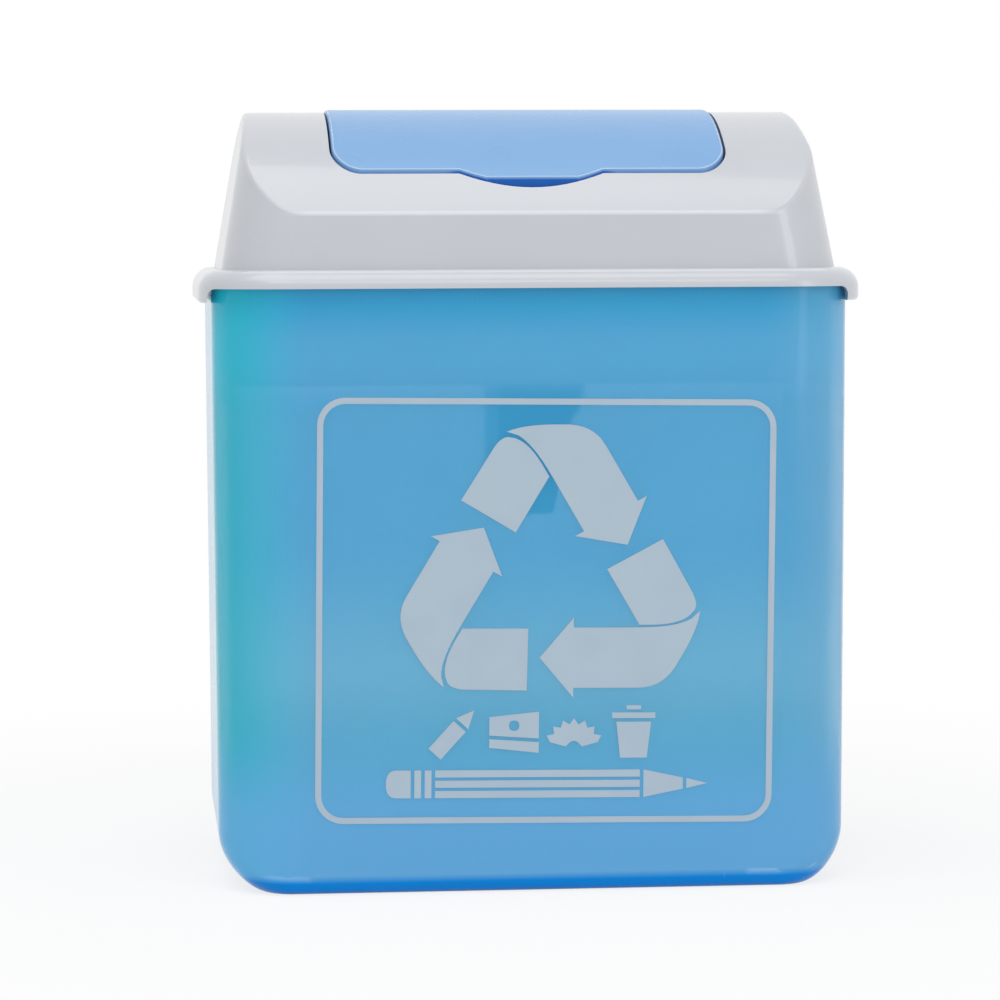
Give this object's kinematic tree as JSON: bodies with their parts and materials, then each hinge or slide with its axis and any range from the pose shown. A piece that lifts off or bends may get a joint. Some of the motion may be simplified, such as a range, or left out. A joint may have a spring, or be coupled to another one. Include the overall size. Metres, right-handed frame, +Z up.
{
  "type": "pencil sharpener",
  "caption": "Hand-turned pencil sharpener shaped like a small swing-lid bin: lift the flap, twist the pencil in the guide, lift off the lid to empty the tub.",
  "frame": {"origin": "on the table under the middle of the bin", "axes": "+Z up, the front with the printed frame faces -Y, +X to the right seen from the front"},
  "size_m": [0.0644, 0.045, 0.0758],
  "materials": {
    "tub_plastic": "translucent blue moulded plastic, glossy",
    "lid_plastic": "white moulded plastic, glossy",
    "flap_plastic": "light blue moulded plastic, glossy",
    "deck_plastic": "blue moulded plastic, satin",
    "pin_steel": "drawn wire",
    "screw_steel": "zinc plated",
    "block_plastic": "blue moulded plastic, satin",
    "blade_steel": "ground tool steel"
  },
  "bodies": {
    "tub": {"bin_body": "tub_plastic"},
    "lid": {"lid_shell": "lid_plastic", "hinge_pin": "pin_steel", "sharpener_deck": "deck_plastic", "block_collar": "deck_plastic", "deck_screws": "screw_steel", "sharpener_block": "block_plastic", "blade": "blade_steel", "blade_screw": "screw_steel"},
    "flap": {"flap": "flap_plastic"}
  },
  "joints": [
    {"name": "lid_lift", "type": "slide", "parent": "tub", "child": "lid", "axis": [0, 0, 1], "range_m": [0, 0.06]},
    {"name": "flap_hinge", "type": "hinge", "parent": "lid", "child": "flap", "pos_m": [0, 0.0025, 0.0729], "axis": [-1, 0, 0], "range_deg": [0, 110]}
  ]
}
